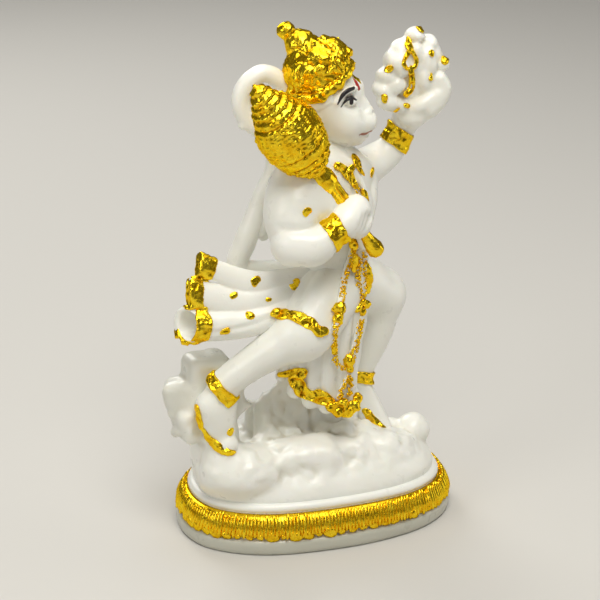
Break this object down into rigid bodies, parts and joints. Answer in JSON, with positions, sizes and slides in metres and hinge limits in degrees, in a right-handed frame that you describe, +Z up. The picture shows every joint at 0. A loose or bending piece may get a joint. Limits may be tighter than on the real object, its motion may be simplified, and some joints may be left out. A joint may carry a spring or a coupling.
{
  "type": "cast deity figurine",
  "caption": "Small cast idol of a striding monkey-faced deity with a mace and a raised mountain, in one piece with its rocky oblong plinth.",
  "frame": {"origin": "middle of the plinth's underside", "axes": "+Z up; +X along the plinth's length, the way the figure strides; -Y the side that faces a visitor"},
  "size_m": [0.0771, 0.046, 0.13],
  "materials": {
    "white_resin": "satin white marble-dust resin",
    "gold_paint": "bright metallic gold paint, brushed on by hand"
  },
  "bodies": {
    "root": {"hanuman_figure": "white_resin"}
  },
  "joints": []
}
